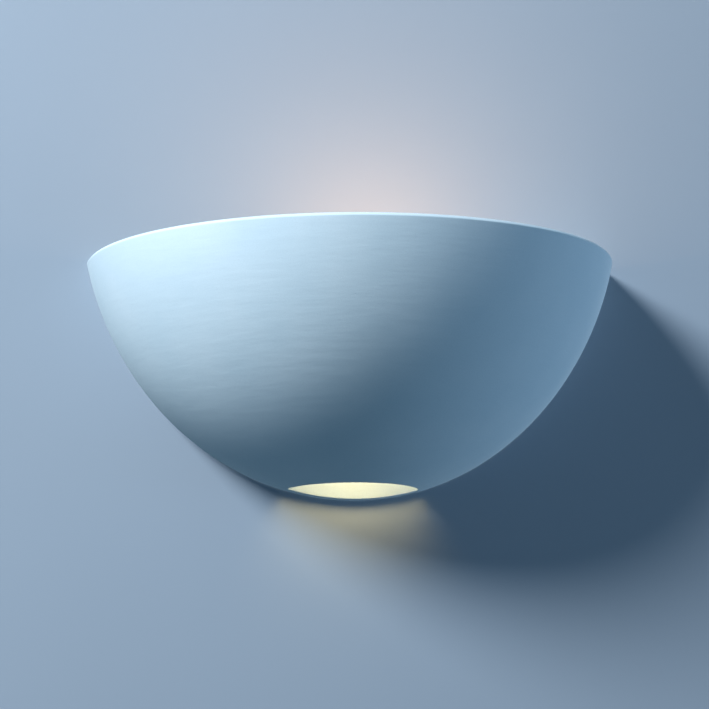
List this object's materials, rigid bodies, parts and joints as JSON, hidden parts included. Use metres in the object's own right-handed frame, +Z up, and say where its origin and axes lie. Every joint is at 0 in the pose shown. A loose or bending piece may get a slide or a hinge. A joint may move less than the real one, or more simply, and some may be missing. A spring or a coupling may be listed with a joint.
{
  "type": "uplighter wall sconce",
  "caption": "Half-bowl ceramic uplighter wall sconce with an open top and a half-round light slot below, hung on a steel wall plate with a screw-cap lamp inside.",
  "frame": {"origin": "on the wall plane, midway between the two wall fixing slots", "axes": "+X to the right seen from the room, +Y into the wall, +Z up"},
  "size_m": [0.3992, 0.1996, 0.18],
  "materials": {
    "bisque_ceramic": "matte",
    "felt": "matte",
    "zinc_plated_steel": "satin",
    "aluminium_sheet": "satin",
    "brass": "satin",
    "tinned_copper": "satin",
    "nickel_plated_brass": "satin",
    "black_rubber": "matte",
    "natural_nylon": "satin",
    "earth_insulation": "satin",
    "live_insulation": "satin",
    "neutral_insulation": "satin",
    "glazed_porcelain": "gloss",
    "black_glass": "gloss",
    "opal_glass": "satin",
    "clear_glass": "gloss",
    "tungsten": "matte"
  },
  "bodies": {
    "root": {"ceramic_shade": "bisque_ceramic", "left_felt_pad": "felt", "right_felt_pad": "felt", "left_shade_stud": "zinc_plated_steel", "right_shade_stud": "zinc_plated_steel", "wall_plate": "zinc_plated_steel", "reflector_cover": "aluminium_sheet", "cover_screws": "zinc_plated_steel", "supply_grommet": "black_rubber", "lead_bush": "natural_nylon", "terminal_block": "natural_nylon", "terminal_inserts": "brass", "terminal_screws": "zinc_plated_steel", "terminal_block_screw": "zinc_plated_steel", "earth_tag": "tinned_copper", "earth_screw": "brass", "earth_lead": "earth_insulation", "live_lead": "live_insulation", "neutral_lead": "neutral_insulation", "lead_clip": "natural_nylon", "lampholder_bracket": "zinc_plated_steel", "bracket_screws": "zinc_plated_steel", "lampholder_body": "glazed_porcelain", "lampholder_fixing_screws": "zinc_plated_steel", "lampholder_screw_shell": "brass", "lampholder_shell_strap": "brass", "lampholder_contact_foot": "brass", "lampholder_rivets": "brass", "lampholder_terminals": "brass", "lampholder_terminal_screws": "zinc_plated_steel"},
    "lamp_carrier": {"lamp_tip_contact": "tinned_copper"},
    "lamp": {"lamp_insulator": "black_glass", "lamp_cap": "nickel_plated_brass", "lamp_glass": "opal_glass", "lamp_stem": "clear_glass", "lamp_support_wires": "tungsten", "lamp_filament": "tungsten"},
    "contact_tongue": {"lampholder_contact_tongue": "brass"},
    "left_nut_carrier": {"left_washer": "zinc_plated_steel"},
    "left_nut": {"left_thumb_nut": "brass"},
    "right_nut_carrier": {"right_washer": "zinc_plated_steel"},
    "right_nut": {"right_thumb_nut": "brass"}
  },
  "joints": [
    {"name": "lamp_travel", "type": "slide", "parent": "root", "child": "lamp_carrier", "axis": [1, 0, 0], "range_m": [0, 0.0109]},
    {"name": "lamp_turn", "type": "hinge", "parent": "lamp_carrier", "child": "lamp", "pos_m": [-0.061, -0.09517, -0.005], "axis": [1, 0, 0], "range_deg": [0, 1080]},
    {"name": "contact_press", "type": "hinge", "parent": "root", "child": "contact_tongue", "pos_m": [-0.0635, -0.0895, -0.00181], "axis": [0, -0.4903, 0.8716], "range_deg": [-15, 0], "stiffness_Nm_per_rad": 0.3},
    {"name": "left_nut_travel", "type": "slide", "parent": "root", "child": "left_nut_carrier", "axis": [0, -1, 0], "range_m": [0, 0.0073]},
    {"name": "left_nut_turn", "type": "hinge", "parent": "left_nut_carrier", "child": "left_nut", "pos_m": [-0.16649, -0.009, 0.032], "axis": [0, -1, 0], "range_deg": [0, 3240]},
    {"name": "right_nut_travel", "type": "slide", "parent": "root", "child": "right_nut_carrier", "axis": [0, -1, 0], "range_m": [0, 0.0073]},
    {"name": "right_nut_turn", "type": "hinge", "parent": "right_nut_carrier", "child": "right_nut", "pos_m": [0.16649, -0.009, 0.032], "axis": [0, -1, 0], "range_deg": [0, 3240]}
  ],
  "couplings": [
    {"joint": "lamp_travel", "follows": "lamp_turn", "m_per_rad": 0.00057757},
    {"joint": "left_nut_travel", "follows": "left_nut_turn", "m_per_rad": 0.00012732},
    {"joint": "right_nut_travel", "follows": "right_nut_turn", "m_per_rad": 0.00012732}
  ]
}
